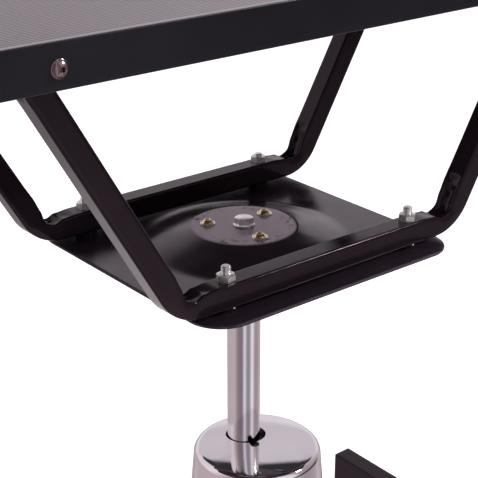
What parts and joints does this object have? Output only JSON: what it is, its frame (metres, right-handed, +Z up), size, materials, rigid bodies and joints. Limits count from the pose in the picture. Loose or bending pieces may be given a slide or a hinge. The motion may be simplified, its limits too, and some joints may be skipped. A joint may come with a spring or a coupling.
{
  "type": "hydraulic lift table",
  "caption": "Foot-pumped hydraulic lift table: a rubber-topped board on bent tube frames and a pressed plate, carried by a chromed ram and pump on a low H-shaped base.",
  "frame": {"origin": "on the floor, under the ram's axis, which is the centre of the table top", "axes": "+X along the table's length, +Y across it away from the pedal, +Z up"},
  "size_m": [1.0884, 0.6084, 0.949],
  "materials": {
    "black_coat": "gloss powder coat",
    "trim_coat": "satin anodised",
    "mat_rubber": "fine ribbed, matt",
    "board_wood": "plywood",
    "zinc": "bright zinc plate",
    "yellow_zinc": "yellow passivated zinc plate",
    "chrome": "polished hard chrome",
    "dark_nickel": "black nickel plate",
    "ground_steel": "ground",
    "spring_steel": "oiled",
    "bronze": "machined bronze",
    "cast_iron": "as cast, oiled",
    "seal_rubber": "smooth",
    "foot_rubber": "matt",
    "black_plastic": "moulded"
  },
  "bodies": {
    "base": {"side_beam_left": "black_coat", "side_beam_right": "black_coat", "beam_end_caps": "black_plastic", "cross_beam_front": "black_coat", "cross_beam_rear": "black_coat", "rubber_feet": "foot_rubber", "beam_bolts": "zinc", "base_nuts": "zinc", "pump_plate": "black_coat", "pump_plate_bolts": "zinc", "pump_block": "cast_iron", "pump_bolts": "zinc", "pump_nuts": "zinc", "pressure_cylinder": "ground_steel", "oil_tank": "ground_steel", "tank_gaskets": "seal_rubber", "tank_head": "ground_steel", "tie_rods": "zinc", "tie_rod_nuts": "zinc", "filler_plug": "black_plastic", "guide_bush": "bronze", "ram_seal": "seal_rubber", "ram_wiper": "seal_rubber", "plunger_gland": "ground_steel", "plunger_spring": "spring_steel", "release_spring": "spring_steel", "check_valves": "ground_steel", "pedal_pivot_pin": "ground_steel", "pivot_pin_clips": "ground_steel", "pump_cover": "chrome", "cover_screws": "zinc"},
    "pedal": {"pedal_lever": "black_coat", "pedal_plate": "black_coat", "pedal_tread": "foot_rubber", "pedal_bolts": "zinc"},
    "plunger": {"pump_plunger": "ground_steel"},
    "release": {"release_pin": "ground_steel"},
    "ram_guide": {"ram_guide_ring": "bronze"},
    "table": {"ram_nut": "ground_steel", "ram_rod": "chrome", "ram_flange": "ground_steel", "mounting_plate": "black_coat", "centre_washer": "zinc", "centre_bolt": "zinc", "flange_washers": "zinc", "flange_screws": "yellow_zinc", "frame_spacers": "black_coat", "frame_bolts": "zinc", "frame_nuts": "zinc", "support_frame_front": "black_coat", "support_frame_rear": "black_coat", "frame_end_plugs": "black_plastic", "board_screws": "zinc", "table_board": "board_wood", "table_mat": "mat_rubber", "edge_trim_front": "trim_coat", "edge_trim_rear": "trim_coat", "edge_trim_left": "trim_coat", "edge_trim_right": "trim_coat", "trim_screws": "dark_nickel"}
  },
  "joints": [
    {"name": "pedal_pivot", "type": "hinge", "parent": "base", "child": "pedal", "pos_m": [0, -0.072, 0.11], "axis": [1, 0, 0], "range_deg": [0, 16], "stiffness_Nm_per_rad": 25, "springref_deg": -8.59},
    {"name": "plunger_lift", "type": "slide", "parent": "base", "child": "plunger", "axis": [0, 0, 1], "range_m": [0, 0.0068], "deforming": ["plunger_spring"]},
    {"name": "release_push", "type": "slide", "parent": "base", "child": "release", "axis": [0, 0, -1], "range_m": [0, 0.0068], "deforming": ["release_spring"]},
    {"name": "ram_lift", "type": "slide", "parent": "base", "child": "ram_guide", "axis": [0, 0, 1], "range_m": [-0.22, 0]},
    {"name": "table_swivel", "type": "hinge", "parent": "ram_guide", "child": "table", "pos_m": [0, 0, 0.313], "axis": [0, 0, 1], "continuous": true}
  ],
  "couplings": [
    {"joint": "plunger_lift", "follows": "pedal_pivot", "m_per_rad": 0.024},
    {"joint": "release_push", "follows": "pedal_pivot", "m_per_rad": 0.024}
  ]
}
